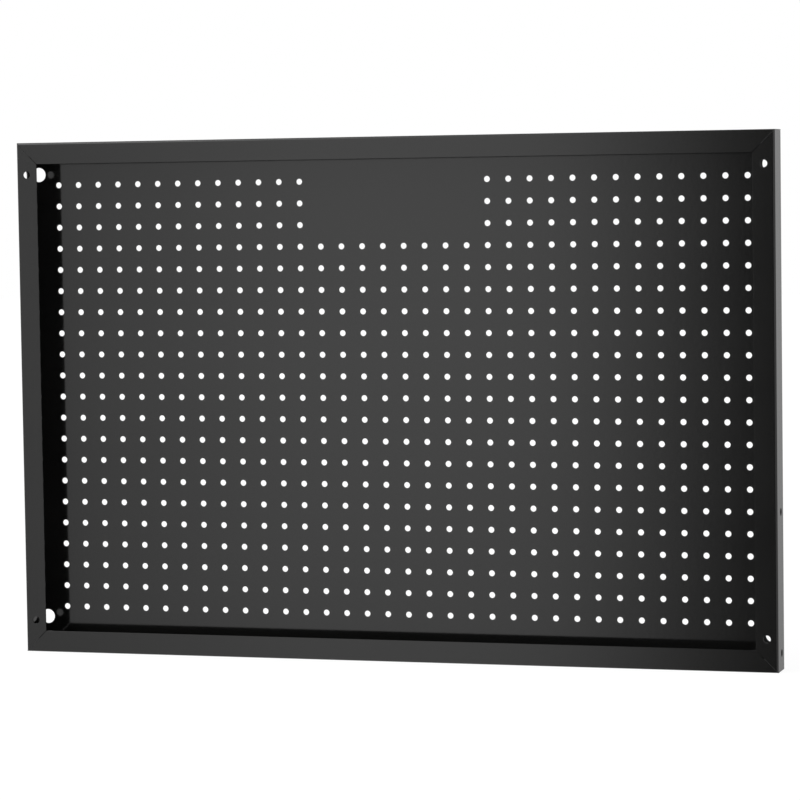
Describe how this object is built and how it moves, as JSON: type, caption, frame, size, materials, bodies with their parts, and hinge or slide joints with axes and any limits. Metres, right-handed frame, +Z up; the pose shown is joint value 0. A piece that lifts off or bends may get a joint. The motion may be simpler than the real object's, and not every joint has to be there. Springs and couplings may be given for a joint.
{
  "type": "wall pegboard panel",
  "caption": "Black steel pegboard panel: a shallow folded pan with a perforated face, walls and mitred rear lips with screw holes, for hanging tools and bins on a wall.",
  "frame": {"origin": "centre of the four wall screw holes, on the plane of the rear lips, which is the plane of the wall", "axes": "+X to the right as seen from the front, +Y into the wall (the perforated face looks along -Y), +Z up"},
  "size_m": [0.9144, 0.0381, 0.6096],
  "materials": {
    "black_powder_coat": "semi-gloss black powder coat on folded steel sheet"
  },
  "bodies": {
    "root": {"face_sheet": "black_powder_coat", "top_channel": "black_powder_coat", "bottom_channel": "black_powder_coat", "left_channel": "black_powder_coat", "right_channel": "black_powder_coat", "corner_weld_top_left": "black_powder_coat", "corner_weld_top_right": "black_powder_coat", "corner_weld_bottom_left": "black_powder_coat", "corner_weld_bottom_right": "black_powder_coat"}
  },
  "joints": []
}
